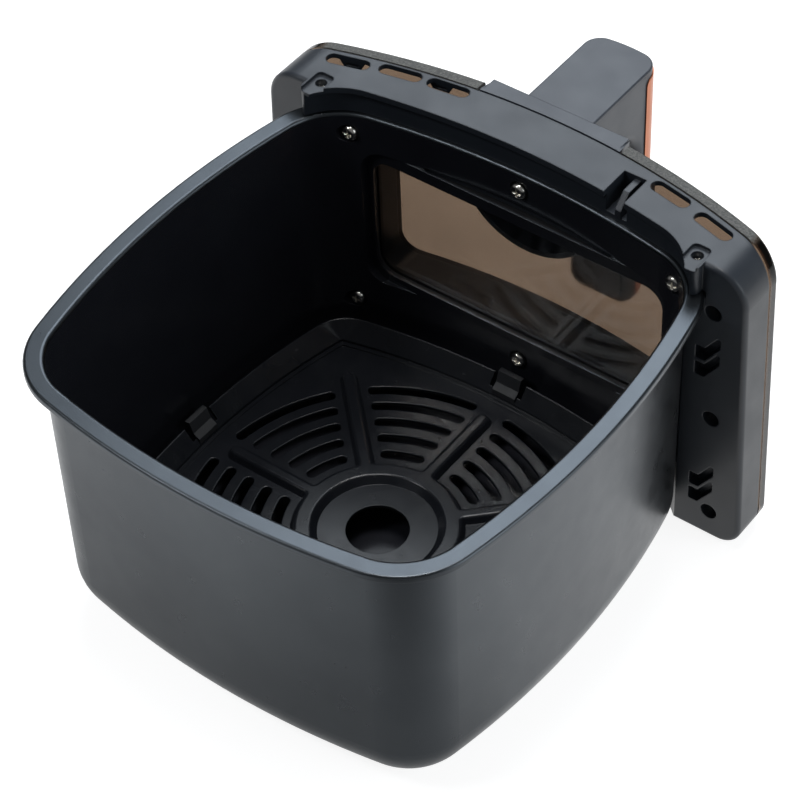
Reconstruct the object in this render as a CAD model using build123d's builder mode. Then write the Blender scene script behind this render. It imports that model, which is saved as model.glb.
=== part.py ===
from build123d import *
from math import asin, degrees, sqrt
import os

# Drawer of a six-litre air fryer: a pressed pan with a window in its front wall, a moulded front
# panel with a smoked cover and a handle, and a crisper tray that lifts straight out of the pan.
# Millimetres, +Z up. The origin is the centre of the pan's base, and the handle points to -Y.

os.makedirs("parts", exist_ok=True)

# ---- Pan ---------------------------------------------------------------------------------------
sheet = 1.2                    # thickness of the pressed pan
pan_half_x = 109.2             # outside of the wall at the rim, middle of the left and right walls
pan_half_y = 109.4             # outside of the wall at the rim, middle of the front and back walls
pan_side_radius = 384.7        # bow of the left and right walls
pan_front_radius = 417.2       # bow of the front and back walls
pan_corner_radius = 31.4
pan_draft = 1.0                # how much narrower each wall is at the base
rim_height = 144.0
rim_reach = 7.6                # how far the rim stands out from the wall
rim_drop = 3.0                 # turned-down edge of the rim
rim_edge_radius = 1.4
rim_lip_radius = 1.7           # rounding from the rim down into the pan
base_radius = 24.5

# ---- Window in the pan's front wall -------------------------------------------------------------
flat_y = -104.0                # inside face of the flat pressed around the window
flat_half_x = 80.0
flat_bottom = 47.0
flat_top = 124.5
flat_corner = 11.0
flat_depth = 12.0              # more than the bow of the wall behind or in front of the flat
window_half_x = 76.6
window_bottom = 51.3
window_top = 118.3
window_corner = 10.0
glass_margin = 2.4             # how far the glass reaches behind the opening's edge
glass_thick = 3.0
gasket_lip = 1.5               # silicone on each face of the glass
gasket_edge = 1.2              # silicone around the glass's edge
tunnel_margin = 0.2            # how much larger the tunnel behind the window is than its opening

# ---- Front panel, seen from the front -----------------------------------------------------------
panel_bottom = 0.5
panel_top = 158.7
panel_half_bottom = 128.0
panel_half_top = 123.0
panel_corner_bottom = 11.0
panel_corner_top = 17.0
panel_wall = 2.5
# ---- Front panel, seen from above ---------------------------------------------------------------
flange_y = -92.0               # rear face of the panel beside the pan
seam_y = -131.0                # housing's bowed front edge on the centre line
seam_radius = 364.0
cover_y = -138.3               # cover's bowed outer face on the centre line
cover_radius = 351.0
cover_wall = 3.0
seam_gap = 0.9                 # shadow gap between housing and cover
frame_thick = 2.5
frame_top = 130.0
lip_overhang = 2.4             # top edge of the housing over the pan's opening
lip_thick = 3.2

# ---- Handle -------------------------------------------------------------------------------------
bracket_half = 36.2            # the bracket is as wide as its round lower end
bracket_rear_y = -115.0
bracket_front_y = -139.2
bracket_wall = 3.0
bracket_border = 2.0           # wall of the housing around the bracket
bracket_floor = 3.7            # thickness of the bracket's front face
handle_half = 17.2
handle_front_y = -191.6
handle_nose_radius = 9.0
arm_underside = 128.7
grip_rear_y = -174.5
grip_bottom = 22.5
grip_end_radius = 8.0          # rounding of the grip's lower end
finger_radius = 14.0
handle_wall = 2.5
cap_thick = 1.7
trim_thick = 1.6
trim_proud = 0.5               # how far the trim stands out from the handle's surface
trim_rear_y = -180.1
trim_shoulder = 153.6          # height of the trim's upper edge at its rear corner
trim_top = 156.0               # height of the trim's upper edge at the handle's front
trim_corner = 3.6

# ---- Crisper tray -------------------------------------------------------------------------------
tray_floor = 16.4              # upper face of the tray's floor
tray_sheet = 1.5
tray_edge = 26.0               # height of the tray's upturned edge
tray_floor_half = 94.5
tray_floor_corner = 83.7
tray_floor_radius = 2.0
tray_edge_half = 102.7
tray_edge_corner = 91.5
tray_edge_radius = 21.0
tray_edge_rounding = 0.6
finger_hole = 14.1
curb_height = 1.7              # upright step between the floor and the sloping flange
curb_ledge = 1.8               # flat ledge at the foot of the step
curb_ledge_height = 0.6
curb_rounding = 0.7
hub_disc = 26.6
hub_lip = 29.7
hub_outer = 38.5
ridge_height = 3.2
ridge_half = 4.4
ridge_taper = 32.0
side_ridge_end = 83.0          # ridges towards the middles of the walls
corner_ridge_end = 97.0        # ridges towards the corners
slot_radii = [45, 55, 65, 75, 85]
slot_width = 4.6
slot_clearance = 7.6           # from a ridge's centre line to the end of a slot
ridge_rounding = 2.0
dish_rounding = 1.6
slot_rounding = 0.5
longest_slot_outline = 200.0   # the outline round the ridges is longer
bumper_half = 6.2
bumper_reach = 103.5
bumper_notch = 2.4             # slot in the flange on each side of a bumper
bumper_notch_from = 96.8
bumper_top = 28.4
bumper_lip = 23.0              # height where the bumper's lip meets its upright face
bumper_foot = 13.6
bumper_foot_from = 98.6        # inner edge of the bumper's foot
bumper_rounding = 1.0

# ---- Fasteners ----------------------------------------------------------------------------------
pan_screw_x = 84.5
pan_screw_top = 132.8
pan_screw_top_mid = 134.7
pan_screw_bottom = 33.6
seat_depth = 0.8               # how far each screw's seat is pressed outward
seat_radius = 4.8
seat_gap = 0.2
pan_screw_length = 16.0
seat_boss = 6.0                # length of the round seat that is joined to the wall
clearance_hole = 2.1
pilot_hole = 1.75              # the shank radius of the pan, bracket and handle screws
thin_pilot_hole = 1.5          # the shank radius of the rear screws
rear_screws = [(108.0, 134.0), (110.0, 73.0), (112.0, 16.0)]
bracket_screws_at = [(25.0, 128.0), (-25.0, 128.0)]
handle_screws_at = [(9.2, 148.6), (-9.2, 148.6), (9.2, 136.4), (-9.2, 136.4)]
corner_screw_x = 96.6
corner_screw_y = -96.2

through = 200.0                # longer than any piece, for cuts that go right through
upright = (Align.CENTER, Align.CENTER, Align.MIN)
hanging = (Align.CENTER, Align.CENTER, Align.MAX)


def arc_y(middle_y, radius, x):
    """Y on a bowed front surface at a distance x from the centre line."""
    return middle_y + radius - sqrt(radius**2 - x**2)


def inner_wall_y(x, z):
    """Y of the inside of the pan's front wall."""
    return arc_y(-(pan_half_y - sheet) + pan_draft * (1 - z / rim_height), pan_front_radius, x)


def bowed_square(half_x, half_y, radius_x, radius_y, corner):
    """A square outline with four bowed sides and rounded corners."""
    # The two bows are circles about (offset_x, 0) and (0, offset_y); they meet at the sharp corner.
    offset_x = half_x - radius_x
    offset_y = half_y - radius_y
    between = sqrt(offset_x**2 + offset_y**2)
    along = (radius_x**2 - radius_y**2 + between**2) / (2 * between)
    across = sqrt(radius_x**2 - along**2)
    corner_x = offset_x + (-along * offset_x - across * offset_y) / between
    corner_y = (along * offset_y - across * offset_x) / between
    with BuildSketch() as outline:
        with BuildLine():
            right = ThreePointArc((corner_x, -corner_y), (half_x, 0), (corner_x, corner_y))
            back = ThreePointArc(right @ 1, (0, half_y), (-corner_x, corner_y))
            left = ThreePointArc(back @ 1, (-half_x, 0), (-corner_x, -corner_y))
            ThreePointArc(left @ 1, (0, -half_y), right @ 0)
        make_face()
        fillet(outline.vertices(), radius=corner)
    return outline.sketch


def pan_outline(grow=0.0):
    """Outside of the pan's wall at the rim, grown outward by grow."""
    return bowed_square(
        pan_half_x + grow,
        pan_half_y + grow,
        pan_side_radius + grow,
        pan_front_radius + grow,
        pan_corner_radius + grow,
    )


def front_plane(y):
    """A plane that faces the front, on which x is across and y is up."""
    return Plane.XZ.offset(-y)


def upright_rectangle(half_x, bottom, top, radius):
    """A rounded rectangle for a front plane."""
    with BuildSketch() as outline:
        with Locations((0, (bottom + top) / 2)):
            RectangleRounded(2 * half_x, top - bottom, radius)
    return outline.sketch


def panel_outline(inset=0.0):
    """The panel seen from the front: wider at the bottom, with rounded corners."""
    with BuildSketch() as outline:
        with BuildLine():
            Polyline(
                (-panel_half_bottom, panel_bottom),
                (panel_half_bottom, panel_bottom),
                (panel_half_top, panel_top),
                (-panel_half_top, panel_top),
                close=True,
            )
        make_face()
        fillet(outline.vertices().group_by(Axis.Y)[0], radius=panel_corner_bottom)
        fillet(outline.vertices().group_by(Axis.Y)[-1], radius=panel_corner_top)
        if inset:
            offset(amount=-inset)
    return outline.sketch


def behind_arc(middle_y, radius, back_y=-60.0):
    """The plan area between a bowed front surface and a straight line behind it."""
    side = 140.0
    side_y = arc_y(middle_y, radius, side)
    with BuildSketch() as area:
        with BuildLine():
            ThreePointArc((-side, side_y), (0, middle_y), (side, side_y))
            Polyline((side, side_y), (side, back_y), (-side, back_y), (-side, side_y))
        make_face()
    return area.sketch


def bracket_outline(top, grow=0.0):
    """The bracket seen from the front: straight sides and a round lower end."""
    radius = bracket_half + grow
    centre_z = 131.6
    with BuildSketch() as outline:
        with Locations((0, centre_z)):
            Circle(radius)
        with Locations((0, top)):
            Rectangle(2 * radius, top - centre_z, align=(Align.CENTER, Align.MAX))
            Rectangle(4 * radius, 4 * radius, align=(Align.CENTER, Align.MIN), mode=Mode.SUBTRACT)
    return outline.sketch


def facing(x, y, z, direction=(0, -1, 0)):
    """A plane at a point whose normal is a fastener's driving direction."""
    return Plane(origin=(x, y, z), z_dir=direction)


# Each pan screw: across, height, and the Y of its pressed seat inside the pan.
pan_screws_at = []
for screw_x, screw_z in [
    (-pan_screw_x, pan_screw_top),
    (0.0, pan_screw_top_mid),
    (pan_screw_x, pan_screw_top),
    (-pan_screw_x, pan_screw_bottom),
    (0.0, pan_screw_bottom),
    (pan_screw_x, pan_screw_bottom),
]:
    pan_screws_at.append((screw_x, screw_z, inner_wall_y(screw_x, screw_z) - seat_depth))


def save(block, name):
    """Label a finished piece and write it as a STEP file."""
    block.part.label = name
    export_step(block.part, f"parts/{name}.step")


# ---- Pan ----------------------------------------------------------------------------------------
def drawn_shape(outline_shrink, floor_z, radius, window_y, window_grow, seat_extra):
    """Outside or inside of the pan's pressed body, up to the rim's upper face."""
    base_outline = pan_outline(-outline_shrink - pan_draft * (1 - floor_z / rim_height))
    rim_outline = pan_outline(-outline_shrink)
    window_flat = upright_rectangle(
        flat_half_x + window_grow, flat_bottom - window_grow, flat_top + window_grow,
        flat_corner + window_grow,
    )
    with BuildPart() as shape:
        with BuildSketch(Plane.XY.offset(floor_z)):
            add(base_outline)
        with BuildSketch(Plane.XY.offset(rim_height)):
            add(rim_outline)
        loft(ruled=True)
        fillet(shape.faces().sort_by(Axis.Z)[0].edges(), radius=radius)
        # The flat around the window cuts off the wall's bow and runs out over its ends.
        with BuildSketch(front_plane(window_y)):
            add(window_flat)
        extrude(amount=flat_depth, mode=Mode.SUBTRACT)
        with BuildSketch(front_plane(window_y)):
            add(window_flat)
        extrude(amount=-flat_depth)
        for x, z, seat_y in pan_screws_at:
            with Locations(facing(x, seat_y + seat_boss, z)):
                Cylinder(seat_radius + seat_extra, seat_boss + seat_extra, align=upright)
    return shape.part


pan_outside = drawn_shape(0.0, 0.0, base_radius, flat_y - sheet, sheet, sheet)
pan_inside = drawn_shape(sheet, sheet, base_radius - sheet, flat_y, 0.0, 0.0)

with BuildPart() as pan:
    add(pan_outside)
    with BuildSketch(Plane.XY.offset(rim_height - rim_drop)):
        add(pan_outline(rim_reach))
    extrude(amount=rim_drop)
    fillet(pan.faces().sort_by(Axis.Z)[-1].outer_wire().edges(), radius=rim_edge_radius)
    with BuildSketch(Plane.XY.offset(rim_height - rim_drop)):
        add(pan_outline(rim_reach - sheet))
        add(pan_outline(), mode=Mode.SUBTRACT)
    extrude(amount=rim_drop - sheet, mode=Mode.SUBTRACT)
    add(pan_inside, mode=Mode.SUBTRACT)
    fillet(pan.faces().sort_by(Axis.Z)[-1].inner_wires()[0].edges(), radius=rim_lip_radius)
    with BuildSketch(front_plane(flat_y + flat_depth / 2)):
        add(upright_rectangle(window_half_x, window_bottom, window_top, window_corner))
    extrude(amount=flat_depth, mode=Mode.SUBTRACT)
    for x, z, seat_y in pan_screws_at:
        with Locations(facing(x, seat_y + seat_boss, z)):
            Cylinder(clearance_hole, 2 * seat_boss, align=upright, mode=Mode.SUBTRACT)
    for side in (-1, 1):
        with Locations((side * corner_screw_x, corner_screw_y, rim_height)):
            Cylinder(clearance_hole, 2 * rim_drop + 1, mode=Mode.SUBTRACT)
save(pan, "pan")


# ---- Window glass and its gasket ----------------------------------------------------------------
glass_rear_y = flat_y - sheet - gasket_lip
glass_front_y = glass_rear_y - glass_thick
gasket_front_y = glass_front_y - gasket_lip


def window_rectangle(grow):
    """The window's opening, grown outward by grow."""
    return upright_rectangle(
        window_half_x + grow, window_bottom - grow, window_top + grow, window_corner + grow
    )


with BuildPart() as window_glass:
    with BuildSketch(front_plane(glass_rear_y)):
        add(window_rectangle(glass_margin))
    extrude(amount=glass_thick)
save(window_glass, "window_glass")

with BuildPart() as window_gasket:
    with BuildSketch(front_plane(flat_y - sheet)):
        add(window_rectangle(glass_margin + gasket_edge))
        add(window_rectangle(tunnel_margin), mode=Mode.SUBTRACT)
    extrude(amount=glass_thick + 2 * gasket_lip)
    add(window_glass.part, mode=Mode.SUBTRACT)
save(window_gasket, "window_gasket")


# ---- Housing ------------------------------------------------------------------------------------
clearance = 0.3
skin = panel_wall + clearance
boss_radius = 4.6
boss_wall = 2.2
boss_room = 16.0               # depth kept solid for a pan screw's boss
rear_boss = 12.0               # depth kept solid for a rear screw's boss
rear_head_radius = 4.0
rear_head_depth = 8.0
rear_edge_radius = 2.2         # rounding of the housing's rear outer edge
recess_reach = 1.0             # how far the wall above the rim stands outside the pan's wall
vents_at = [(48.0, -123.3), (71.0, -119.6), (94.6, -112.9), (-68.3, -119.8), (-93.4, -113.1)]
vent_length = 20.5
vent_width = 6.6
snap_loops_at = [(48.0, -123.3, 5.5), (94.6, -112.9, -0.6)]  # vent, and distance from its middle
snap_loop_thick = 1.4
snap_loop_drop = 3.6           # how far a snap loop hangs below the housing's top wall
snap_loop_half = 4.0
snap_loop_spread = 2.4         # how much wider a snap loop is at its root
snap_loop_root = 0.6
snap_slot_wide = 6.4
snap_slot_high = 1.2
snap_slot_above = 1.6          # middle of the slot above the loop's lower edge
interlock_x = -50.0            # middle of the notch that takes the appliance's safety switch
interlock_half = 5.5
interlock_front_y = -121.5
interlock_floor = 146.5
interlock_depth = 40.0
blade_x = -52.6
blade_thick = 3.0
blade_top = 156.6
blade_rear_y = -106.6
blade_slope = 6.2
latch_pairs = [(100.6, 95.6), (101.2, 18.8)]  # inner edge and foot of each pair of latch slots
latch_pitch = 9.5
latch_high = 7.4
latch_foot = 4.6               # level part of a latch slot, before it slants up and outward
latch_reach = 11.8
latch_rise = 10.4
latch_deep = 5.0
latch_corner = 0.9
pad_half = 5.4
pad_rear_y = -87.0
pad_depth = 1.6
pad_recess_depth = 14.0
pad_border = 1.0
pad_corner = 2.4
ear_root = 4.0                 # how far an ear reaches forward into the housing
ear_corner = 3.0
ear_boss_radius = 8.0
corner_head_radius = 2.6
corner_head_depth = 6.0
corner_pilot = 1.6
corner_pilot_depth = 36.0
bracket_head_radius = 3.8
bracket_seat = 2.4             # from the bracket's rear face back to the seat of its screws


def latch_slot(side, x, foot_z):
    """Outline of one latch slot on the left or right side of the flange."""
    with BuildSketch() as outline:
        with BuildLine():
            Polyline(
                (side * x, foot_z),
                (side * (x + latch_foot), foot_z),
                (side * (x + latch_reach), foot_z + latch_rise),
                (side * (x + latch_reach), foot_z + latch_rise + latch_high),
                (side * (x + latch_foot), foot_z + latch_high),
                (side * x, foot_z + latch_high),
                close=True,
            )
        make_face()
        fillet(outline.vertices(), radius=latch_corner)
    return outline.sketch


def bracket_block(grow):
    """The part of the handle's bracket that is inside the housing, clear of the pan's rim."""
    with BuildPart() as block:
        with BuildSketch(front_plane(bracket_rear_y)):
            add(bracket_outline(panel_top - panel_wall, grow=grow - clearance))
        extrude(amount=bracket_rear_y - seam_y + seam_gap)
        with BuildSketch(Plane.XY.offset(rim_height - rim_drop - skin - clearance + grow)):
            add(pan_outline(rim_reach + skin + clearance - grow))
        extrude(amount=through, mode=Mode.SUBTRACT)
    return block.part


with BuildPart() as hollow:
    # Everything inside the housing's walls and in front of its rear skin.
    with BuildSketch(front_plane(flange_y - panel_wall)):
        add(panel_outline(panel_wall))
    extrude(amount=through)
    # Kept solid: the skin around the pan, its rim and the opening above the rim.
    with BuildSketch():
        add(pan_outline(skin))
    extrude(amount=rim_height, mode=Mode.SUBTRACT)
    with BuildSketch(Plane.XY.offset(rim_height - rim_drop - skin)):
        add(pan_outline(rim_reach + skin))
    extrude(amount=rim_drop + skin, mode=Mode.SUBTRACT)
    with BuildSketch(Plane.XY.offset(rim_height)):
        add(pan_outline(recess_reach + panel_wall))
    extrude(amount=through, mode=Mode.SUBTRACT)
    # Kept solid: the tunnel between the pan's window and the cover, and the glass's seat.
    with BuildSketch(front_plane(flange_y)):
        add(window_rectangle(panel_wall))
    extrude(amount=through, mode=Mode.SUBTRACT)
    with BuildSketch(front_plane(flange_y)):
        add(window_rectangle(glass_margin + gasket_edge + skin))
    extrude(amount=flange_y - gasket_front_y + panel_wall, mode=Mode.SUBTRACT)
    # Kept solid: the wall that carries the handle's bracket.
    with BuildSketch(front_plane(flange_y)):
        add(bracket_outline(panel_top, grow=bracket_border))
    extrude(amount=flange_y - bracket_rear_y, mode=Mode.SUBTRACT)
    # Kept solid: screw bosses, the switch notch, the latch pockets and the corner ears.
    for x, z, seat_y in pan_screws_at:
        with Locations(facing(x, seat_y, z)):
            Cylinder(boss_radius + boss_wall, boss_room, align=upright, mode=Mode.SUBTRACT)
    for x, z in rear_screws:
        with Locations(facing(x, flange_y, z), facing(-x, flange_y, z)):
            Cylinder(rear_head_radius + boss_wall, rear_boss, align=upright, mode=Mode.SUBTRACT)
    for x, z in latch_pairs:
        for side in (-1, 1):
            with Locations((side * (x + latch_reach / 2), flange_y, z - panel_wall)):
                Box(
                    latch_reach + 2 * panel_wall, 2 * (latch_deep + panel_wall),
                    latch_pitch + latch_rise + latch_high + 2 * panel_wall,
                    align=upright, mode=Mode.SUBTRACT,
                )
    with Locations(
        (interlock_x, interlock_front_y - panel_wall, interlock_floor - panel_wall)
    ):
        Box(
            2 * (interlock_half + panel_wall), interlock_depth, through,
            align=(Align.CENTER, Align.MIN, Align.MIN), mode=Mode.SUBTRACT,
        )
    for side in (-1, 1):
        with Locations((side * corner_screw_x, corner_screw_y, panel_top)):
            Cylinder(ear_boss_radius, corner_pilot_depth, align=hanging, mode=Mode.SUBTRACT)

with BuildPart() as housing:
    with BuildSketch(front_plane(flange_y)):
        add(panel_outline())
    extrude(amount=through)
    with BuildSketch():
        add(behind_arc(seam_y, seam_radius))
    extrude(amount=through, mode=Mode.INTERSECT)
    fillet(housing.faces().sort_by(Axis.Y)[-1].edges(), radius=rear_edge_radius)
    # Ears that reach back over the rim's corners.
    for side in (-1, 1):
        with Locations((side * corner_screw_x, flange_y - ear_root, rim_height)):
            Box(
                2 * pad_half, pad_rear_y - flange_y + ear_root, panel_top - rim_height,
                align=(Align.CENTER, Align.MIN, Align.MIN),
            )
    ear_corners = housing.edges().filter_by(Axis.Z).filter_by_position(
        Axis.Y, pad_rear_y - 0.1, pad_rear_y + 0.1
    )
    fillet(ear_corners, radius=ear_corner)
    add(hollow.part, mode=Mode.SUBTRACT)
    # The pan, its rim, the recessed wall above the rim and the overhanging lip.
    with BuildSketch():
        add(pan_outline(clearance))
    extrude(amount=rim_height, mode=Mode.SUBTRACT)
    with BuildSketch(Plane.XY.offset(rim_height - rim_drop - clearance)):
        add(pan_outline(rim_reach + clearance))
    extrude(amount=rim_drop + clearance, mode=Mode.SUBTRACT)
    with BuildSketch(Plane.XY.offset(rim_height)):
        add(pan_outline(recess_reach))
    extrude(amount=panel_top - lip_thick - rim_height, mode=Mode.SUBTRACT)
    with BuildSketch(Plane.XY.offset(panel_top - lip_thick)):
        add(pan_outline(recess_reach - lip_overhang))
    extrude(amount=lip_thick, mode=Mode.SUBTRACT)
    # The flat around the window, the glass's seat and the tunnel to the cover.
    with BuildSketch(front_plane(flange_y)):
        add(
            upright_rectangle(
                flat_half_x + sheet + clearance, flat_bottom - sheet - clearance,
                flat_top + sheet + clearance, flat_corner + sheet,
            )
        )
    extrude(amount=flange_y - flat_y + sheet + clearance, mode=Mode.SUBTRACT)
    with BuildSketch(front_plane(flange_y)):
        add(window_rectangle(glass_margin + gasket_edge + clearance))
    extrude(amount=flange_y - gasket_front_y, mode=Mode.SUBTRACT)
    with BuildSketch(front_plane(flange_y)):
        add(window_rectangle(tunnel_margin))
    extrude(amount=through, mode=Mode.SUBTRACT)
    # The handle's bracket, which hangs into the top of the tunnel.
    add(bracket_block(clearance), mode=Mode.SUBTRACT)
    # Pan screws: a seat for each pressed dimple and a pilot hole.
    for x, z, seat_y in pan_screws_at:
        with Locations(facing(x, seat_y + boss_room, z)):
            Cylinder(
                seat_radius + sheet + seat_gap, boss_room + sheet, align=upright,
                mode=Mode.SUBTRACT,
            )
        with Locations(facing(x, seat_y, z)):
            Cylinder(pilot_hole, pan_screw_length + 0.5, align=upright, mode=Mode.SUBTRACT)
    # Rear screws: recessed heads beside the pan.
    for x, z in rear_screws:
        with Locations(facing(x, flange_y, z), facing(-x, flange_y, z)):
            Cylinder(rear_head_radius, rear_head_depth, align=upright, mode=Mode.SUBTRACT)
            Cylinder(clearance_hole, through, align=upright, mode=Mode.SUBTRACT)
    # Bracket screws: heads below the surface that faces the pan.
    for x, z in bracket_screws_at:
        with Locations(facing(x, bracket_rear_y + boss_room + bracket_seat, z)):
            Cylinder(bracket_head_radius, boss_room, align=upright, mode=Mode.SUBTRACT)
            Cylinder(clearance_hole, 2 * boss_room, align=upright, mode=Mode.SUBTRACT)
    # Pairs of latch slots that slant up and outward.
    for x, z in latch_pairs:
        for side in (-1, 1):
            for foot_z in (z, z + latch_pitch):
                with BuildSketch(front_plane(flange_y)):
                    add(latch_slot(side, x, foot_z))
                extrude(amount=latch_deep, mode=Mode.SUBTRACT)
    # Vents through the top.
    for x, y in vents_at:
        with BuildSketch(Plane.XY.offset(panel_top)):
            with Locations(Location((x, y), degrees(asin(x / seam_radius)))):
                SlotOverall(vent_length, vent_width)
        extrude(amount=-panel_wall, mode=Mode.SUBTRACT)
    # Snap loops that hold the cover's upper edge, at the front of two vents.
    for x, y, along in snap_loops_at:
        turn = Location((x, y, panel_top - panel_wall), (0, 0, degrees(asin(x / seam_radius))))
        loop_plane = Plane(turn)
        with BuildSketch(
            Plane(
                origin=loop_plane.from_local_coords((along, -vent_width / 2, 0)),
                x_dir=loop_plane.x_dir,
                z_dir=-loop_plane.y_dir,
            )
        ):
            with BuildLine():
                Polyline(
                    (-snap_loop_half - snap_loop_spread, snap_loop_root),
                    (-snap_loop_half, -snap_loop_drop),
                    (snap_loop_half, -snap_loop_drop),
                    (snap_loop_half + snap_loop_spread, snap_loop_root),
                    close=True,
                )
            make_face()
            with Locations((0, snap_slot_above - snap_loop_drop)):
                RectangleRounded(
                    snap_slot_wide, snap_slot_high, 0.45 * snap_slot_high, mode=Mode.SUBTRACT
                )
        extrude(amount=snap_loop_thick)
    # Notch for the appliance's safety switch, with its upright blade.
    with Locations((interlock_x, interlock_front_y, interlock_floor)):
        Box(
            2 * interlock_half, interlock_depth, through, align=(Align.CENTER, Align.MIN, Align.MIN),
            mode=Mode.SUBTRACT,
        )
    with BuildSketch(Plane.YZ.offset(blade_x)):
        with BuildLine():
            Polyline(
                (blade_rear_y, interlock_floor),
                (interlock_front_y, interlock_floor),
                (interlock_front_y, blade_top),
                (blade_rear_y - blade_slope, blade_top),
                (blade_rear_y, blade_top - blade_slope),
                close=True,
            )
        make_face()
    extrude(amount=blade_thick)
    # Corner pads: a recess with a screw hole that goes down past the rim.
    for side in (-1, 1):
        with BuildSketch(Plane.XY.offset(panel_top)):
            with Locations((side * corner_screw_x, pad_rear_y + pad_corner - pad_recess_depth / 2)):
                RectangleRounded(
                    2 * (pad_half - pad_border), pad_recess_depth + 2 * pad_corner, pad_corner
                )
        extrude(amount=-pad_depth, mode=Mode.SUBTRACT)
        with Locations((side * corner_screw_x, corner_screw_y, panel_top)):
            Cylinder(corner_head_radius, corner_head_depth, align=hanging, mode=Mode.SUBTRACT)
            Cylinder(corner_pilot, corner_pilot_depth, align=hanging, mode=Mode.SUBTRACT)
save(housing, "front_housing")


# ---- Inner frame behind the cover ---------------------------------------------------------------
frame_ear_top = 143.0          # the frame's outer ends reach higher than its middle
frame_ear_x = 100.0
post_radius = 4.0

with BuildPart() as frame:
    with BuildSketch(front_plane(flange_y)):
        add(panel_outline(cover_wall + clearance))
    extrude(amount=through)
    with BuildSketch():
        add(behind_arc(seam_y - frame_thick, seam_radius + frame_thick))
    extrude(amount=through, mode=Mode.INTERSECT)
    with BuildSketch():
        add(behind_arc(seam_y, seam_radius))
    extrude(amount=through, mode=Mode.SUBTRACT)
    with BuildSketch(front_plane(flange_y)):
        with Locations((0, frame_top)):
            Rectangle(2 * frame_ear_x, through, align=(Align.CENTER, Align.MIN))
        with Locations((0, frame_ear_top)):
            Rectangle(2 * panel_half_bottom, through, align=(Align.CENTER, Align.MIN))
        add(window_rectangle(tunnel_margin))
        add(bracket_outline(panel_top, grow=2 * clearance))
    extrude(amount=through, mode=Mode.SUBTRACT)
    # Posts that reach back to the rear screws' bosses.
    for x, z in rear_screws:
        boss_front_y = flange_y - rear_boss
        post = boss_front_y - arc_y(seam_y, seam_radius, x)
        with Locations(facing(x, boss_front_y, z), facing(-x, boss_front_y, z)):
            Cylinder(post_radius, post + 1, align=upright)
            Cylinder(thin_pilot_hole, post - 0.5, align=upright, mode=Mode.SUBTRACT)
save(frame, "front_frame")


# ---- Smoked cover -------------------------------------------------------------------------------
notch_gap = 1.2                # between the cover and the bracket in its notch
cover_edge_radius = 2.0

with BuildPart() as cover_hollow:
    with BuildSketch(front_plane(flange_y)):
        add(panel_outline(cover_wall))
    extrude(amount=through)
    with BuildSketch():
        add(behind_arc(cover_y + cover_wall, cover_radius - cover_wall))
    extrude(amount=through, mode=Mode.INTERSECT)

with BuildPart() as cover:
    with BuildSketch(front_plane(flange_y)):
        add(panel_outline())
    extrude(amount=through)
    with BuildSketch():
        add(behind_arc(cover_y, cover_radius))
    extrude(amount=through, mode=Mode.INTERSECT)
    fillet(cover.faces().sort_by(Axis.Y)[0].edges(), radius=cover_edge_radius)
    add(cover_hollow.part, mode=Mode.SUBTRACT)
    with BuildSketch():
        add(behind_arc(seam_y - seam_gap, seam_radius + seam_gap))
    extrude(amount=through, mode=Mode.SUBTRACT)
    with BuildSketch(front_plane(flange_y)):
        add(bracket_outline(panel_top + 1, grow=notch_gap))
    extrude(amount=through, mode=Mode.SUBTRACT)
save(cover, "front_cover")


# ---- Handle bracket -----------------------------------------------------------------------------
bracket_taper = 8
bracket_step = 1.2             # how much narrower the bracket's top is than its sides
bracket_top_high = 12.0
bracket_seam_bow = 3.0         # more than the bow of the seam across the bracket
bracket_pilot_depth = 14.0

with BuildPart() as bracket:
    # Face that fills the cover's notch, slightly narrower at the front and bowed at the seam.
    with BuildSketch(front_plane(seam_y + bracket_seam_bow)):
        add(bracket_outline(panel_top))
    extrude(amount=bracket_seam_bow + seam_gap)
    with BuildSketch(front_plane(seam_y - seam_gap)):
        add(bracket_outline(panel_top))
    extrude(amount=seam_y - seam_gap - bracket_front_y, taper=bracket_taper)
    with BuildSketch(front_plane(seam_y - seam_gap)):
        with Locations((0, panel_top)):
            Rectangle(
                2 * (bracket_half - bracket_step), bracket_top_high, align=(Align.CENTER, Align.MAX)
            )
    extrude(amount=seam_y - seam_gap - bracket_front_y)
    with BuildSketch():
        add(behind_arc(seam_y - seam_gap, seam_radius + seam_gap))
    extrude(amount=through, mode=Mode.SUBTRACT)
    # Body behind the seam, below the housing's top wall.
    add(bracket_block(0.0))
    # Hollow, open towards the housing, with bosses for the screws.
    with BuildSketch(front_plane(bracket_rear_y)):
        add(bracket_outline(panel_top - panel_wall - clearance - bracket_wall, grow=-bracket_wall))
        with Locations(*bracket_screws_at, (0, pan_screw_top_mid)):
            Circle(boss_radius, mode=Mode.SUBTRACT)
    extrude(amount=bracket_rear_y - bracket_front_y - bracket_floor, mode=Mode.SUBTRACT)
    for x, z in [*bracket_screws_at, (0, pan_screw_top_mid)]:
        with Locations(facing(x, bracket_rear_y, z)):
            Cylinder(pilot_hole, bracket_pilot_depth, align=upright, mode=Mode.SUBTRACT)
    for x, z in handle_screws_at:
        with Locations(facing(x, bracket_rear_y, z)):
            Cylinder(clearance_hole, through, align=upright, mode=Mode.SUBTRACT)
save(bracket, "handle_bracket")


# ---- Handle -------------------------------------------------------------------------------------
handle_bow = 2.0               # how far the handle's nose bulges in plan
handle_edge_radius = 4.5       # edges that fingers reach
handle_top_radius = 1.0
cap_nose_depth = 7.7
handle_boss_radius = 4.2
handle_boss_length = 16.0
handle_hollow_inset = 3.5


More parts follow.
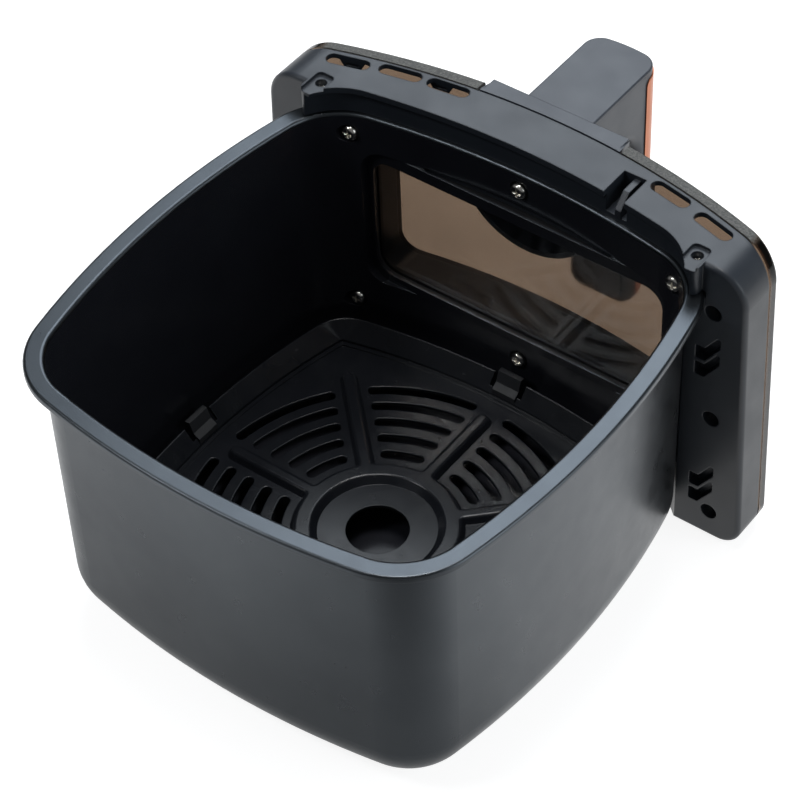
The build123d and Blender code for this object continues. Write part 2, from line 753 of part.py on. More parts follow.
def handle_plan(inset=0.0):
    """The handle seen from above, inset all round."""
    half = handle_half - inset
    nose_y = handle_front_y + inset
    root_y = bracket_front_y
    with BuildSketch() as outline:
        with BuildLine():
            nose = ThreePointArc((-half, nose_y + handle_bow), (0, nose_y), (half, nose_y + handle_bow))
            Polyline(nose @ 1, (half, root_y), (-half, root_y), nose @ 0)
        make_face()
        fillet(outline.vertices().group_by(Axis.Y)[0], radius=handle_nose_radius - inset)
    return outline.sketch


def finger_gap(inset=0.0):
    """Side view of the space below the arm and behind the grip, grown up and forward by inset."""
    with BuildSketch() as outline:
        with BuildLine():
            Polyline(
                (bracket_front_y, grip_bottom),
                (grip_rear_y - inset, grip_bottom),
                (grip_rear_y - inset, arm_underside + inset),
                (bracket_front_y, arm_underside + inset),
                close=True,
            )
        make_face()
        corner = outline.vertices().group_by(Axis.X)[0].sort_by(Axis.Y)[-1]
        fillet(corner, radius=finger_radius - inset)
    return outline.sketch


def trim_side():
    """Side view of the area that the trim covers at the handle's front."""
    with BuildSketch() as outline:
        with BuildLine():
            Polyline(
                (trim_rear_y, grip_bottom - 2),
                (trim_rear_y, trim_shoulder),
                (handle_front_y - 2, trim_top),
                (handle_front_y - 2, grip_bottom - 2),
                close=True,
            )
        make_face()
        fillet(outline.vertices().sort_by_distance((trim_rear_y, trim_shoulder))[0], radius=trim_corner)
    return outline.sketch


def lower_end(block):
    """The edges of a block's lowest face, except its rear edge."""
    lowest = block.faces().sort_by(Axis.Z)[0]
    return lowest.edges().sort_by(Axis.Y)[:-1]


with BuildPart() as handle_form:
    # The whole handle: an arm and a grip, rounded where fingers reach it.
    with BuildSketch(Plane.XY.offset(grip_bottom)):
        add(handle_plan())
    extrude(amount=panel_top - grip_bottom)
    with BuildSketch(Plane.YZ):
        add(finger_gap())
    extrude(amount=through, both=True, mode=Mode.SUBTRACT)
    fillet(lower_end(handle_form), radius=grip_end_radius)
    finger_edges = []
    for face in handle_form.faces().filter_by(Axis.X):
        finger_edges += face.edges().filter_by_position(
            Axis.Z, grip_bottom + 1, panel_top - 1
        ).filter_by_position(Axis.Y, grip_rear_y - 0.5, bracket_front_y - 1)
    grip_rear = handle_form.faces().filter_by_position(Axis.Y, grip_rear_y - 0.1, grip_rear_y + 0.1)
    finger_edges += grip_rear.edges().filter_by_position(
        Axis.Z, grip_bottom - 1, grip_bottom + grip_end_radius
    )
    fillet(finger_edges, radius=handle_edge_radius)
    top_edges = handle_form.faces().sort_by(Axis.Z)[-1].edges().filter_by(Axis.X, reverse=True)
    fillet(top_edges, radius=handle_top_radius)

with BuildPart() as trim_inside:
    with BuildSketch(Plane.XY.offset(grip_bottom + trim_thick)):
        add(handle_plan(trim_thick))
    extrude(amount=through)
    fillet(lower_end(trim_inside), radius=grip_end_radius - trim_thick)

with BuildPart() as handle_trim:
    with BuildSketch(Plane.XY.offset(grip_bottom)):
        add(handle_plan(-trim_proud))
    extrude(amount=panel_top - grip_bottom)
    fillet(lower_end(handle_trim), radius=grip_end_radius)
    with BuildSketch(Plane.YZ):
        add(trim_side())
    extrude(amount=through, both=True, mode=Mode.INTERSECT)
    add(trim_inside.part, mode=Mode.SUBTRACT)
save(handle_trim, "handle_trim")

with BuildPart() as handle_cap:
    # Lid over the arm, with a nose that comes down to the trim.
    add(handle_form.part)
    with BuildSketch(Plane.XY.offset(panel_top - cap_thick)):
        Rectangle(2 * through, 2 * through)
    extrude(amount=-through, mode=Mode.SUBTRACT)
    with BuildSketch(Plane.XY.offset(panel_top - cap_thick)):
        add(handle_plan())
        with Locations((0, trim_rear_y)):
            Rectangle(through, through, align=(Align.CENTER, Align.MIN), mode=Mode.SUBTRACT)
        add(handle_plan(trim_thick + 2 * clearance), mode=Mode.SUBTRACT)
    extrude(amount=-cap_nose_depth)
    add(handle_trim.part, mode=Mode.SUBTRACT)
    with BuildSketch(Plane.YZ):
        add(trim_side())
    extrude(amount=through, both=True, mode=Mode.SUBTRACT)
save(handle_cap, "handle_cap")

with BuildPart() as handle_body:
    add(handle_form.part)
    add(handle_trim.part, mode=Mode.SUBTRACT)
    add(handle_cap.part, mode=Mode.SUBTRACT)
    # Hollow, open at the top.
    with BuildSketch(Plane.XY.offset(grip_bottom + grip_end_radius)):
        add(handle_plan(handle_hollow_inset))
        with Locations((0, bracket_front_y - handle_wall)):
            Rectangle(through, through, align=(Align.CENTER, Align.MIN), mode=Mode.SUBTRACT)
    extrude(amount=through, mode=Mode.SUBTRACT)
    # Walls behind the fingers, and bosses for the screws from the bracket.
    with BuildSketch(Plane.YZ):
        add(finger_gap(handle_wall + 0.5))
        add(finger_gap(), mode=Mode.SUBTRACT)
    extrude(amount=handle_half - handle_edge_radius, both=True)
    add(handle_form.part, mode=Mode.INTERSECT)
    for x, z in handle_screws_at:
        with Locations(facing(x, bracket_front_y, z)):
            Cylinder(handle_boss_radius, handle_boss_length, align=upright)
    for x, z in handle_screws_at:
        with Locations(facing(x, bracket_front_y, z)):
            Cylinder(pilot_hole, handle_boss_length - 1, align=upright, mode=Mode.SUBTRACT)
save(handle_body, "handle_body")


# ---- Crisper tray -------------------------------------------------------------------------------
def tray_outline(half, corner_at, corner):
    """A bowed square that passes through the sharp corner (corner_at, corner_at)."""
    bow = half - corner_at
    radius = (corner_at**2 + bow**2) / (2 * bow)
    return bowed_square(half, half, radius, radius, corner)


def level_face(block, height):
    """The largest level face of a piece at a height."""
    at_height = block.faces().filter_by_position(Axis.Z, height - 0.01, height + 0.01)
    return at_height.filter_by(Axis.Z).sort_by(SortBy.AREA)[-1]


with BuildPart() as tray:
    # A dished plate: floor, sloping flange, open above.
    with BuildSketch(Plane.XY.offset(tray_floor - tray_sheet)):
        add(tray_outline(tray_floor_half, tray_floor_corner, tray_floor_radius))
    with BuildSketch(Plane.XY.offset(tray_edge)):
        add(tray_outline(tray_edge_half, tray_edge_corner, tray_edge_radius))
    loft(ruled=True)
    with BuildSketch(Plane.XY.offset(tray_floor + curb_height)):
        add(tray_outline(tray_floor_half, tray_floor_corner, tray_floor_radius))
    with BuildSketch(Plane.XY.offset(tray_edge)):
        add(
            tray_outline(
                tray_edge_half - tray_sheet, tray_edge_corner - tray_sheet,
                tray_edge_radius - tray_sheet,
            )
        )
    loft(ruled=True, mode=Mode.SUBTRACT)
    with BuildSketch(Plane.XY.offset(tray_floor + curb_ledge_height)):
        add(tray_outline(tray_floor_half, tray_floor_corner, tray_floor_radius))
    extrude(amount=curb_height - curb_ledge_height, mode=Mode.SUBTRACT)
    brim = tray.edges().filter_by_position(Axis.Z, tray_edge - 0.01, tray_edge + 0.01)
    fillet(brim, radius=tray_edge_rounding)
    step_height = tray_floor + curb_height
    step_edges = tray.edges().filter_by_position(Axis.Z, step_height - 0.01, step_height + 0.01)
    fillet(step_edges, radius=curb_rounding)
    with BuildSketch(Plane.XY.offset(tray_floor)):
        add(
            tray_outline(
                tray_floor_half - curb_ledge, tray_floor_corner - curb_ledge, tray_floor_radius
            )
        )
    extrude(amount=curb_ledge_height, mode=Mode.SUBTRACT)
    # Raised hub ring and eight ridges.
    with BuildSketch(Plane.XY.offset(tray_floor)):
        Circle(hub_outer)
        for step in range(8):
            reach = side_ridge_end if step % 2 == 0 else corner_ridge_end
            with Locations(Rotation(0, 0, 45 * step)):
                with Locations((reach / 2, 0)):
                    SlotOverall(reach, 2 * ridge_half)
    extrude(amount=ridge_height, taper=ridge_taper)
    # Dish in the middle, and the finger hole.
    with Locations((0, 0, tray_floor)):
        Cone(
            hub_disc, hub_lip, ridge_height, align=upright, mode=Mode.SUBTRACT
        )
        Cylinder(finger_hole, tray_edge, mode=Mode.SUBTRACT)
    # Notches in the flange beside each bumper.
    for step in range(4):
        for side in (-1, 1):
            middle = side * (bumper_half + bumper_notch / 2)
            with Locations(Rotation(0, 0, 90 * step)):
                with Locations((bumper_notch_from, middle, tray_floor + curb_height)):
                    Box(
                        tray_edge, bumper_notch, tray_edge,
                        align=(Align.MIN, Align.CENTER, Align.MIN), mode=Mode.SUBTRACT,
                    )
    # Five curved slots in each eighth.
    with BuildSketch(Plane.XY.offset(tray_floor)):
        for step in range(8):
            for radius in slot_radii:
                margin = degrees(asin((slot_clearance + slot_width / 2) / radius))
                with BuildLine(mode=Mode.PRIVATE):
                    path = CenterArc((0, 0), radius, 45 * step + margin, 45 - 2 * margin)
                SlotArc(path, slot_width)
    extrude(amount=-2 * tray_sheet, mode=Mode.SUBTRACT)
    # Rounded ridges, dish, finger hole and slots.
    fillet(level_face(tray, tray_floor + ridge_height).outer_wire().edges(), radius=ridge_rounding)
    dish_lip = level_face(tray, tray_floor + ridge_height).inner_wires()[0]
    fillet(dish_lip.edges(), radius=dish_rounding)
    slot_edges = []
    for wire in level_face(tray, tray_floor).inner_wires():
        if wire.length < longest_slot_outline:
            slot_edges += wire.edges()
    fillet(slot_edges, radius=slot_rounding)
save(tray, "crisper_tray")

# Silicone bumpers clipped over the tray's edge, whose feet rest on the pan's rounded base.
for bumper_name, angle in [("right", 0), ("back", 90), ("left", 180), ("front", 270)]:
    with BuildPart() as bumper:
        with BuildSketch(Plane.XZ.offset(-bumper_half)):
            with BuildLine():
                Polyline(
                    (tray_floor_half + 0.2, step_height + 0.2),
                    (tray_floor_half + 0.7, step_height + 2.8),
                    (bumper_foot_from - 0.2, bumper_lip),
                    (tray_edge_half - 2.3, bumper_top),
                    (bumper_reach, bumper_top),
                    (bumper_reach, bumper_foot),
                    (bumper_foot_from, bumper_foot),
                    (bumper_foot_from - 2.0, tray_floor - 0.4),
                    close=True,
                )
            make_face()
        extrude(amount=2 * bumper_half)
        fillet(bumper.edges().filter_by(Axis.Y).group_by(Axis.X)[-1], radius=bumper_rounding)
    with BuildPart() as turned:
        with Locations(Rotation(0, 0, angle)):
            add(bumper.part)
        add(tray.part, mode=Mode.SUBTRACT)
    save(turned, f"tray_bumper_{bumper_name}")


# ---- Screws -------------------------------------------------------------------------------------
def pan_head_screw(head_radius, head_height, shank_radius, length):
    """A cross-recessed pan head screw that points down -Z from its seat at Z 0."""
    with BuildPart() as screw:
        Cylinder(head_radius, head_height, align=upright)
        fillet(screw.edges().group_by(Axis.Z)[-1], radius=head_height * 0.62)
        Cylinder(shank_radius, length, align=hanging)
        chamfer(screw.edges().group_by(Axis.Z)[0], length=shank_radius * 0.5)
        with BuildSketch(Plane.XY.offset(head_height)):
            Rectangle(head_radius * 1.1, head_radius * 0.28)
            Rectangle(head_radius * 0.28, head_radius * 1.1)
        extrude(amount=-head_height * 0.7, taper=12, mode=Mode.SUBTRACT)
    return screw.part


def screw_group(name, screw, planes):
    """The same screw at several places, as one node."""
    with BuildPart() as group:
        with Locations(*planes):
            add(screw)
    save(group, name)


rearward = (0, 1, 0)           # the way a screw head faces when it is driven from behind

screw_group(
    "pan_screws",
    pan_head_screw(3.9, 3.0, pilot_hole, pan_screw_length),
    [facing(x, seat_y, z, rearward) for x, z, seat_y in pan_screws_at],
)
rear_planes = []
for x, z in rear_screws:
    rear_planes.append(facing(x, flange_y - rear_head_depth, z, rearward))
    rear_planes.append(facing(-x, flange_y - rear_head_depth, z, rearward))
screw_group("rear_screws", pan_head_screw(3.2, 2.2, thin_pilot_hole, 12.0), rear_planes)
screw_group(
    "bracket_screws",
    pan_head_screw(3.4, 2.2, pilot_hole, 14.0),
    [facing(x, bracket_rear_y + bracket_seat, z, rearward) for x, z in bracket_screws_at],
)
screw_group(
    "handle_screws",
    pan_head_screw(3.4, 2.2, pilot_hole, 16.0),
    [facing(x, bracket_front_y + bracket_floor, z, rearward) for x, z in handle_screws_at],
)
screw_group(
    "corner_screws",
    pan_head_screw(2.4, 1.8, corner_pilot, 24.0),
    [
        facing(corner_screw_x, corner_screw_y, panel_top - corner_head_depth, (0, 0, 1)),
        facing(-corner_screw_x, corner_screw_y, panel_top - corner_head_depth, (0, 0, 1)),
    ],
)
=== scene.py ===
from math import cos, radians, sin

import bpy
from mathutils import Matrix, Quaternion, Vector


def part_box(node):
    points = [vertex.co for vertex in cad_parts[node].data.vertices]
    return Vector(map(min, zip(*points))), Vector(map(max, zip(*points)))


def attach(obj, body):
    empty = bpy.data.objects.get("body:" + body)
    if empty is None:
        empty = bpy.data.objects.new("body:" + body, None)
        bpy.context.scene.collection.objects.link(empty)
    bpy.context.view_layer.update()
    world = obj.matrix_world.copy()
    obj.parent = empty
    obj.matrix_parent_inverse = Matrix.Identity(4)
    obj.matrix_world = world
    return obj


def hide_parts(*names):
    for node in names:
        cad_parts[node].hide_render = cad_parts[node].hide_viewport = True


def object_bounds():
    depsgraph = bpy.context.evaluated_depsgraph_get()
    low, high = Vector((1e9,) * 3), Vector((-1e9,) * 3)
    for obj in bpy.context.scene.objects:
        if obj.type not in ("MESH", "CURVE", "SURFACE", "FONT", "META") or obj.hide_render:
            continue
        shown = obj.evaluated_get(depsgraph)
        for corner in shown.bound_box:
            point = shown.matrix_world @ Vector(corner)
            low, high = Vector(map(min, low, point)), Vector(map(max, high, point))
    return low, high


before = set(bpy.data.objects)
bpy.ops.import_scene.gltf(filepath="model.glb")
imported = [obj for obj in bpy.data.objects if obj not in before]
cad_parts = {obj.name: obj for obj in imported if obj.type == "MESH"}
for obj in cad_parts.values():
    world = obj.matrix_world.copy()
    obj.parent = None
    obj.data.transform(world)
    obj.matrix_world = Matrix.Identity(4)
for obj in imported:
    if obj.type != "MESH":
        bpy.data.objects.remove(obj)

# Drawer of an air fryer on a pale studio floor. Metres, +Z up, the handle points to -Y.

cad_low, cad_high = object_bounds()
pan_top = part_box("pan")[1].z
cover_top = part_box("front_cover")[1].z
MM = 0.001
scene = bpy.context.scene

# Finishes
noise_span = (0.3, 0.7)                 # nearly all values of a noise texture lie in it
smear_span = (0.35, 0.75)               # noise below it leaves a clear surface clean
speckle_span = (0.4, 0.7)               # noise below it leaves the frosting dark
wear_fineness = 3.1                     # how much finer the wear is than the mottling
coating_top = pan_top - 1.6 * MM        # above it the rim has the outside's finish
coating_foot = 30 * MM                  # below it, what faces up is the pan's floor and its rounds
facing_in = -0.1                        # an inner wall's normal points outward by less than this
facing_up = 0.3                         # the pan floor's normal points up by more than this
frosted_from = cover_top - 2.8 * MM     # height from which the cover's upper edge is frosted
frosted_half = 111.0 * MM               # half the frosted length, short of the corners
frosted_fade = 0.4 * MM

# Studio
drawer_middle = Vector((0, -0.02, 0.08))
floor_half = 6.0
matte_roughness = 0.95
# Painted shade: the dark cards below darken the floor that the pan's outside mirrors.
shade_card_clear_at = 0.02                    # falloff below which a dark card is clear


# ---- Camera ------------------------------------------------------------------------------------
camera_azimuth = radians(218.492)
camera_elevation = radians(45.722)
camera_roll = radians(-2.565)
camera_distance = 1.225308
camera_target = Vector((0.000842, -0.020879, 0.07927))

camera_back = Vector((
    sin(camera_azimuth) * cos(camera_elevation),
    -cos(camera_azimuth) * cos(camera_elevation),
    sin(camera_elevation),
))
camera_data = bpy.data.cameras.new("camera")
camera_data.sensor_width = 36
camera_data.lens = 129.65
camera_data.clip_start = 0.01
camera = bpy.data.objects.new("camera", camera_data)
camera.rotation_mode = "QUATERNION"
camera.rotation_quaternion = (
    camera_back.to_track_quat("Z", "Y") @ Quaternion((0, 0, 1), camera_roll)
)
camera.location = camera_target + camera_back * camera_distance
scene.collection.objects.link(camera)
scene.camera = camera


# ---- Material helpers --------------------------------------------------------------------------
def new_material(name):
    """A new material with shader nodes, and its Principled shader."""
    material = bpy.data.materials.new(name)
    material.use_nodes = True
    shader = material.node_tree.nodes["Principled BSDF"]
    return material, shader


def node(material, kind, **values):
    """A new shader node with its properties and input values set."""
    made = material.node_tree.nodes.new(kind)
    for key, value in values.items():
        if hasattr(made, key):
            setattr(made, key, value)
        else:
            made.inputs[key].default_value = value
    return made


def link(material, source, target):
    """A link from an output socket to an input socket."""
    material.node_tree.links.new(source, target)


def noise_texture(material, scale, detail, roughness=0.5):
    """Noise in the object's own coordinates. scale is in cycles per metre."""
    coordinates = node(material, "ShaderNodeTexCoord")
    noise = node(material, "ShaderNodeTexNoise", Scale=scale, Detail=detail, Roughness=roughness)
    link(material, coordinates.outputs["Object"], noise.inputs["Vector"])
    return noise.outputs["Fac"]


def grey(value):
    """A grey as a colour."""
    return (value, value, value)


def ramp(material, value, span, first, last):
    """A colour that goes from first to last as the value goes through the span."""
    made = node(material, "ShaderNodeValToRGB")
    for stop, position, colour in zip(made.color_ramp.elements, span, (first, last)):
        stop.position = position
        stop.color = (*colour, 1)
    link(material, value, made.inputs["Fac"])
    return made.outputs["Color"]


def blend(material, mask, first, last):
    """first where the mask is 0 and last where it is 1."""
    made = node(material, "ShaderNodeMix", data_type="RGBA")
    # The node has several sockets called A and B, so its colour sockets are found by number.
    mask_in, first_in, last_in = made.inputs[0], made.inputs[6], made.inputs[7]
    colour_out = made.outputs[2]
    link(material, mask, mask_in)
    link(material, first, first_in)
    link(material, last, last_in)
    return colour_out


def finish_surface(
    material, shader, colours, roughness, mottling, grain, grain_depth, edge=0.4 * MM
):
    """Colour and roughness that vary a little over the surface, a fine grain and eased edges.

    mottling and grain are in cycles per metre, and edge is the radius of the eased edges."""
    broad = noise_texture(material, mottling, detail=4.0)
    link(material, ramp(material, broad, noise_span, *colours), shader.inputs["Base Color"])
    wear = noise_texture(material, mottling * wear_fineness, detail=5.0)
    smoothest, roughest = roughness
    worn = ramp(material, wear, noise_span, grey(smoothest), grey(roughest))
    link(material, worn, shader.inputs["Roughness"])
    fine = noise_texture(material, grain, detail=2.0)
    eased = node(material, "ShaderNodeBevel", samples=4, Radius=edge)
    bump = node(material, "ShaderNodeBump", Strength=1.0, Distance=grain_depth)
    link(material, fine, bump.inputs["Height"])
    link(material, eased.outputs["Normal"], bump.inputs["Normal"])
    link(material, bump.outputs["Normal"], shader.inputs["Normal"])


# ---- Materials ---------------------------------------------------------------------------------
def coated_steel():
    """Satin metallic grey coating on the outside of the pan and its rim."""
    material, shader = new_material("pan_outside")
    finish_surface(
        material, shader,
        colours=((0.061, 0.068, 0.076), (0.069, 0.077, 0.085)),
        roughness=(0.27, 0.34),
        mottling=30,
        grain=2600,
        grain_depth=0.03 * MM,
    )
    shader.inputs["Metallic"].default_value = 1.0
    return material


def non_stick():
    """Near-black semi-gloss coating inside the pan."""
    material, shader = new_material("pan_inside")
    finish_surface(
        material, shader,
        colours=((0.010, 0.0105, 0.014), (0.013, 0.014, 0.018)),
        roughness=(0.2, 0.27),
        mottling=30,
        grain=2200,
        grain_depth=0.02 * MM,
    )
    return material


def tray_coating():
    """Near-black coating of the crisper tray, with weaker reflections than the pan's."""
    material, shader = new_material("tray_coating")
    finish_surface(
        material, shader,
        colours=((0.006, 0.007, 0.009), (0.009, 0.010, 0.013)),
        roughness=(0.2, 0.28),
        mottling=40,
        grain=1800,
        grain_depth=0.03 * MM,
    )
    shader.inputs["Specular IOR Level"].default_value = 0.3
    return material


def housing_plastic():
    """Satin blue-grey plastic of the housing, with its edges eased more than the other pieces'."""
    material, shader = new_material("housing_plastic")
    finish_surface(
        material, shader,
        colours=((0.018, 0.022, 0.029), (0.023, 0.028, 0.036)),
        roughness=(0.34, 0.42),
        mottling=25,
        grain=3000,
        grain_depth=0.02 * MM,
        edge=0.8 * MM,
    )
    shader.inputs["Specular IOR Level"].default_value = 0.4
    return material


def handle_plastic():
    """Satin plastic of the handle, a lighter blue-grey than the housing's."""
    material, shader = new_material("handle_plastic")
    finish_surface(
        material, shader,
        colours=((0.03, 0.035, 0.046), (0.036, 0.042, 0.054)),
        roughness=(0.36, 0.44),
        mottling=25,
        grain=3000,
        grain_depth=0.02 * MM,
    )
    shader.inputs["Specular IOR Level"].default_value = 0.45
    return material


def frame_plastic():
    """Near-black plastic of the frame behind the cover."""
    material, shader = new_material("frame_plastic")
    finish_surface(
        material, shader,
        colours=((0.005, 0.006, 0.008), (0.008, 0.009, 0.012)),
        roughness=(0.35, 0.45),
        mottling=40,
        grain=2500,
        grain_depth=0.02 * MM,
    )
    return material


def copper_plating():
    """Satin copper of the handle's trim."""
    material, shader = new_material("copper_plating")
    finish_surface(
        material, shader,
        colours=((0.42, 0.145, 0.07), (0.46, 0.165, 0.083)),
        roughness=(0.3, 0.38),
        mottling=30,
        grain=4000,
        grain_depth=0.01 * MM,
    )
    shader.inputs["Metallic"].default_value = 1.0
    return material


def screw_steel():
    """Bright steel of the screws."""
    material, shader = new_material("screw_steel")
    finish_surface(
        material, shader,
        colours=((0.72, 0.69, 0.64), (0.8, 0.77, 0.72)),
        roughness=(0.14, 0.24),
        mottling=400,
        grain=6000,
        grain_depth=0.01 * MM,
    )
    shader.inputs["Metallic"].default_value = 1.0
    return material


def silicone(name, colours):
    """Matte silicone of the gasket or the bumpers."""
    material, shader = new_material(name)
    finish_surface(
        material, shader,
        colours=colours,
        roughness=(0.5, 0.62),
        mottling=60,
        grain=2400,
        grain_depth=0.03 * MM,
    )
    return material


def clear_glass():
    """Clear glass with faint smears."""
    material, shader = new_material("window_glass")
    shader.inputs["Base Color"].default_value = (0.93, 0.95, 0.96, 1)
    shader.inputs["Transmission Weight"].default_value = 1.0
    shader.inputs["IOR"].default_value = 1.54
    smears = noise_texture(material, scale=60, detail=4.0)
    smeared = ramp(material, smears, smear_span, grey(0.0), grey(0.06))
    link(material, smeared, shader.inputs["Roughness"])
    return material


def frosted_mask(material):
    """1 on the cover's upper edge between the corners, and 0 elsewhere."""
    coordinates = node(material, "ShaderNodeTexCoord")
    place = node(material, "ShaderNodeSeparateXYZ")
    link(material, coordinates.outputs["Object"], place.inputs["Vector"])
    across = node(material, "ShaderNodeMath", operation="ABSOLUTE")
    link(material, place.outputs["X"], across.inputs[0])
    upper_span = (frosted_from, frosted_from + frosted_fade)
    upper = ramp(material, place.outputs["Z"], upper_span, grey(0), grey(1))
    middle_span = (frosted_half, frosted_half + frosted_fade)
    middle = ramp(material, across.outputs[0], middle_span, grey(1), grey(0))
    frosted = node(material, "ShaderNodeMath", operation="MULTIPLY")
    link(material, upper, frosted.inputs[0])
    link(material, middle, frosted.inputs[1])
    return frosted.outputs[0]


def smoked_plastic():
    """Clear brown plastic whose upper edge is frosted between the corners."""
    material, shader = new_material("smoked_cover")
    mask = frosted_mask(material)
    tint = noise_texture(material, scale=20, detail=3.0)
    clear = ramp(material, tint, noise_span, (0.13, 0.088, 0.06), (0.16, 0.11, 0.076))
    speckle = noise_texture(material, scale=1100, detail=3.0, roughness=0.7)
    frost = ramp(material, speckle, speckle_span, (0.05, 0.052, 0.05), (0.16, 0.16, 0.15))
    link(material, blend(material, mask, clear, frost), shader.inputs["Base Color"])
    see_through = ramp(material, mask, (0, 1), grey(1.0), grey(0.12))
    link(material, see_through, shader.inputs["Transmission Weight"])
    shader.inputs["IOR"].default_value = 1.3
    smears = noise_texture(material, scale=50, detail=4.0)
    polish = ramp(material, smears, smear_span, grey(0.03), grey(0.1))
    matte = ramp(material, speckle, noise_span, grey(0.42), grey(0.6))
    link(material, blend(material, mask, polish, matte), shader.inputs["Roughness"])
    return material


# ---- Pieces ------------------------------------------------------------------------------------
def pan_shell():
    """The pan, with satin metallic steel outside and on the rim, and a non-stick coating inside."""
    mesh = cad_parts["pan"].data.copy()
    mesh.materials.clear()
    mesh.materials.append(coated_steel())
    mesh.materials.append(non_stick())
    outside, inside = 0, 1
    for face in mesh.polygons:
        outward = Vector((face.center.x, face.center.y, 0)).normalized()
        on_inner_wall = face.normal.dot(outward) < facing_in
        on_pan_floor = face.normal.z > facing_up and face.center.z < coating_foot
        if face.center.z < coating_top and (on_inner_wall or on_pan_floor):
            face.material_index = inside
        else:
            face.material_index = outside
    piece = bpy.data.objects.new("pan_shell", mesh)
    scene.collection.objects.link(piece)
    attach(piece, "drawer")
    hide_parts("pan")


def give_material(material, *names):
    """Gives the finished material to CAD nodes that are shown as they are."""
    for name in names:
        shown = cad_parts[name]
        shown.data.materials.clear()
        shown.data.materials.append(material)


pan_shell()
give_material(handle_plastic(), "handle_cap", "handle_body", "handle_bracket")
give_material(copper_plating(), "handle_trim")
give_material(housing_plastic(), "front_housing")
give_material(frame_plastic(), "front_frame")
give_material(smoked_plastic(), "front_cover")
give_material(clear_glass(), "window_glass")
give_material(silicone("gasket_silicone", ((0.012, 0.012, 0.014), (0.02, 0.02, 0.022))), "window_gasket")
give_material(tray_coating(), "crisper_tray")
give_material(
    silicone("bumper_silicone", ((0.01, 0.011, 0.013), (0.015, 0.016, 0.019))),
    "tray_bumper_right", "tray_bumper_back", "tray_bumper_left", "tray_bumper_front",
)
give_material(
    screw_steel(),
    "pan_screws", "rear_screws", "bracket_screws", "handle_screws", "corner_screws",
)


# ---- Studio ------------------------------------------------------------------------------------
def stage_sheet(name, material, place, half_x, half_y, turn=0):
    """A level rectangle of the studio that throws no light on matte surfaces."""
    corners = [(-half_x, -half_y, 0), (half_x, -half_y, 0), (half_x, half_y, 0), (-half_x, half_y, 0)]
    mesh = bpy.data.meshes.new(name)
    mesh.from_pydata(corners, [], [(0, 1, 2, 3)])
    mesh.materials.append(material)
    sheet = bpy.data.objects.new(name, mesh)
    sheet.location = place
    sheet.rotation_euler.z = turn
    sheet.visible_diffuse = False
    scene.collection.objects.link(sheet)
    return sheet


def pale_floor(paleness, unevenness, glow):
    """A level matte floor that also glows evenly, so that it reads as lit from all round."""
    material, shader = new_material("pale_floor")
    shade = noise_texture(material, scale=3, detail=2.0)
    tone = ramp(material, shade, noise_span, grey(paleness - unevenness), grey(paleness))
    link(material, tone, shader.inputs["Base Color"])
    link(material, tone, shader.inputs["Emission Color"])
    shader.inputs["Emission Strength"].default_value = glow
    shader.inputs["Roughness"].default_value = matte_roughness
    shader.inputs["Specular IOR Level"].default_value = 0.0
    stage_sheet("pale_floor", material, (0, 0, cad_low.z), floor_half, floor_half)


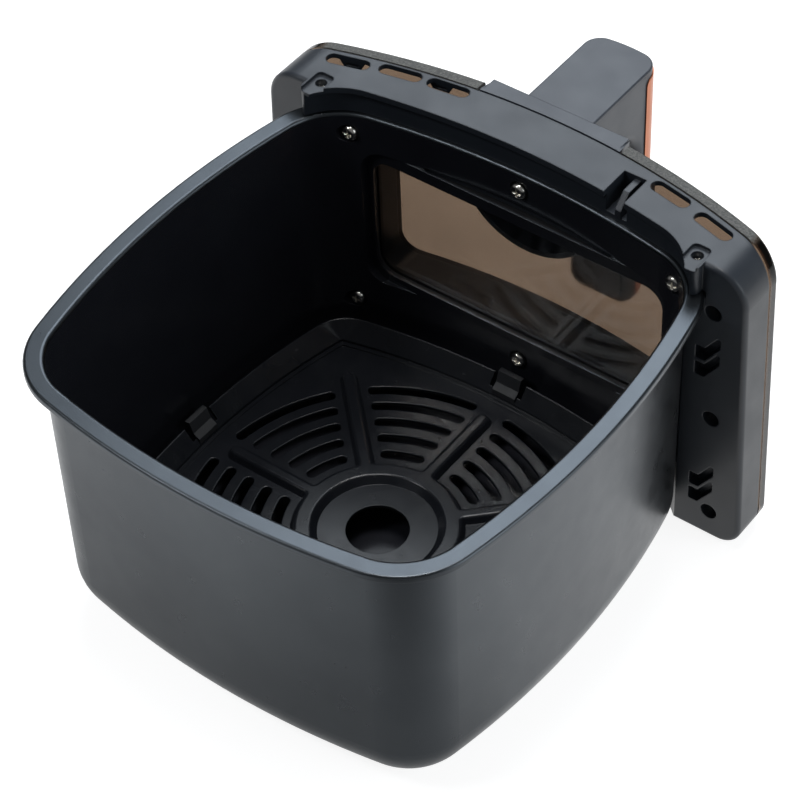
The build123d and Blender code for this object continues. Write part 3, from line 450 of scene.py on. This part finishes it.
def painted_shade_card(name, place, lift, half_x, half_y, turn, opacity, full_at):
    """Painted shade: a dark card above the floor, out of the camera's sight, that the pan's outside
    mirrors in place of the glowing floor.

    Its falloff is 1 in the middle and 0 at the edges. It is darkest where the falloff is above
    full_at, and fades out to nothing at the edges."""
    material, shader = new_material(name)
    coordinates = node(material, "ShaderNodeTexCoord")
    scaled = node(material, "ShaderNodeMapping", Scale=(1 / half_x, 1 / half_y, 1))
    link(material, coordinates.outputs["Object"], scaled.inputs["Vector"])
    falloff = node(material, "ShaderNodeTexGradient", gradient_type="SPHERICAL")
    link(material, scaled.outputs["Vector"], falloff.inputs["Vector"])
    cover = ramp(material, falloff.outputs["Fac"], (shade_card_clear_at, full_at), grey(0), grey(opacity))
    link(material, cover, shader.inputs["Alpha"])
    # The card's near-black colour is the painted shade.
    shader.inputs["Base Color"].default_value = (0.008, 0.009, 0.01, 1)
    shader.inputs["Roughness"].default_value = matte_roughness
    shader.inputs["Specular IOR Level"].default_value = 0.0
    card = stage_sheet(name, material, (*place, cad_low.z + lift), half_x, half_y, turn)
    card.visible_camera = False
    card.visible_shadow = False


def soft_light(name, direction, distance, size, power, colour=(1, 1, 1)):
    """A large soft rectangular light in a direction from the drawer, aimed at it."""
    data = bpy.data.lights.new(name, "AREA")
    data.shape = "RECTANGLE"
    data.size, data.size_y = size
    data.energy = power
    data.color = colour
    towards = Vector(direction).normalized()
    lamp = bpy.data.objects.new(name, data)
    lamp.location = drawer_middle + towards * distance
    lamp.rotation_mode = "QUATERNION"
    lamp.rotation_quaternion = towards.to_track_quat("Z", "Y")
    scene.collection.objects.link(lamp)


def faint_sky(colour, strength):
    """Even light from all round."""
    world = bpy.data.worlds.new("studio")
    world.use_nodes = True
    background = world.node_tree.nodes["Background"]
    background.inputs["Color"].default_value = (*colour, 1)
    background.inputs["Strength"].default_value = strength
    scene.world = world


pale_floor(paleness=0.4, unevenness=0.006, glow=2.2)
# Painted shade: the pan's corner that faces the camera mirrors this dark card instead of the glowing
# floor.
painted_shade_card(
    "corner_shade_card",
    place=(-0.34, 0.43),
    lift=2 * MM,
    half_x=0.34,
    half_y=0.5,
    turn=radians(38),
    opacity=0.98,
    full_at=0.55,
)
# Painted shadow: stands in for the floor's shadow beside the pan, so the outer wall facing +Y mirrors it
# and gets darker towards the bottom.
painted_shade_card(
    "wall_shade_card",
    place=(0.05, 0.115),
    lift=1 * MM,
    half_x=0.3,
    half_y=0.105,
    turn=0,
    opacity=0.45,
    full_at=0.7,
)
faint_sky(colour=(0.94, 0.97, 1), strength=0.16)
soft_light(
    "back_light",
    direction=(0.27, -0.62, 0.72),
    distance=1.8,
    size=(1.2, 1.2),
    power=19,
    colour=(0.86, 0.93, 1.0),
)
soft_light("top_light", direction=(0.05, -0.1, 1.0), distance=1.9, size=(0.5, 0.5), power=16)
soft_light(
    "side_light",
    direction=(-1.0, -0.25, 0.45),
    distance=1.7,
    size=(1.0, 1.2),
    power=9,
    colour=(0.9, 0.96, 1.0),
)
soft_light(
    "screw_light",
    direction=(0.434, 0.5, 0.75),
    distance=1.6,
    size=(0.35, 0.35),
    power=5,
    colour=(0.95, 0.98, 1.0),
)
scene.view_settings.view_transform = "Standard"
